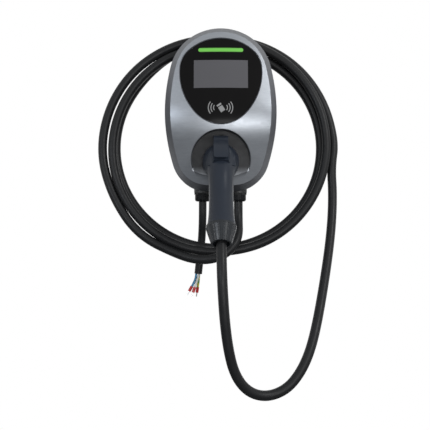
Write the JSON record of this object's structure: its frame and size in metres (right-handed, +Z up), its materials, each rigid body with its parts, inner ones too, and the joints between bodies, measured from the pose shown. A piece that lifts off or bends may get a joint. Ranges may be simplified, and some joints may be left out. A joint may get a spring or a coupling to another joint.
{
  "type": "ev wallbox",
  "caption": "Wall-mounted car charging box with a domed egg-shaped cover, its cable wound behind it and its plug parked in the cover's dish.",
  "frame": {"origin": "centre of the wall bracket's four mounting holes, on the wall", "axes": "+Z up, +X to the right as seen from the front, -Y towards the front, the wall is Y = 0"},
  "size_m": [0.43, 0.2604, 0.6273],
  "materials": {
    "cover_paint": "metallic grey paint on a moulding",
    "housing_plastic": "fine moulded grain",
    "panel_black": "polished",
    "light_green": "frosted light guide",
    "seal_rubber": "smooth",
    "galvanised_steel": "galvanised",
    "screw_steel": "zinc plated",
    "board_green": "solder mask",
    "component_black": "moulded",
    "capacitor_can": "satin",
    "terminal_grey": "moulded",
    "brass_bar": "machined",
    "screen_glass": "polished",
    "led_white": "matte",
    "holster_black": "fine moulded grain",
    "gland_grey": "moulded",
    "cable_black": "satin sheath",
    "wire_blue": "smooth insulation",
    "ferrule_red": "smooth",
    "ferrule_tin": "tinned",
    "plug_slate": "fine moulded grain",
    "plug_black": "moulded"
  },
  "bodies": {
    "wallbox": {"antenna_board": "board_green", "bracket_screws": "screw_steel", "cable_bush": "plug_black", "cable_coil": "cable_black", "cable_drop": "cable_black", "cable_loop": "cable_black", "capacitors": "capacitor_can", "charge_gland_body": "gland_grey", "charge_gland_nut": "gland_grey", "charge_gland_seal": "seal_rubber", "charge_wires": "wire_blue", "contact_sleeves": "brass_bar", "control_board": "board_green", "control_board_screws": "screw_steel", "cover_screws": "screw_steel", "cover_seal": "seal_rubber", "current_sensor": "component_black", "display_panel": "panel_black", "earth_bar": "brass_bar", "ferrule_collars": "ferrule_red", "ferrule_tips": "ferrule_tin", "front_cover": "cover_paint", "gland_locknuts": "gland_grey", "holster_screws": "screw_steel", "holster_socket": "holster_black", "input_terminals": "terminal_grey", "lcd_module": "screen_glass", "led_strip": "led_white", "lever_pin": "screw_steel", "lever_spring": "screw_steel", "light_bar": "light_green", "main_board": "board_green", "main_board_screws": "screw_steel", "output_terminals": "terminal_grey", "plug_nose": "plug_black", "plug_screws": "screw_steel", "plug_shell_inner": "plug_slate", "plug_shell_outer": "plug_slate", "plug_wires": "wire_blue", "power_supply": "component_black", "rear_housing": "housing_plastic", "relays": "component_black", "sensor_wires": "wire_blue", "strain_relief_nut": "plug_black", "supply_cable": "cable_black", "supply_cores": "wire_blue", "supply_gland_body": "gland_grey", "supply_gland_nut": "gland_grey", "supply_gland_seal": "seal_rubber", "supply_wires": "wire_blue", "wall_bracket": "galvanised_steel"},
    "latch": {"latch_lever": "plug_slate"}
  },
  "joints": [
    {"name": "lever_hinge", "type": "hinge", "parent": "wallbox", "child": "latch", "pos_m": [0, -0.14134, -0.06159], "axis": [1, 0, 0], "range_deg": [0, 3.5], "stiffness_Nm_per_rad": 6, "springref_deg": -1.72, "deforming": ["lever_spring"]}
  ]
}
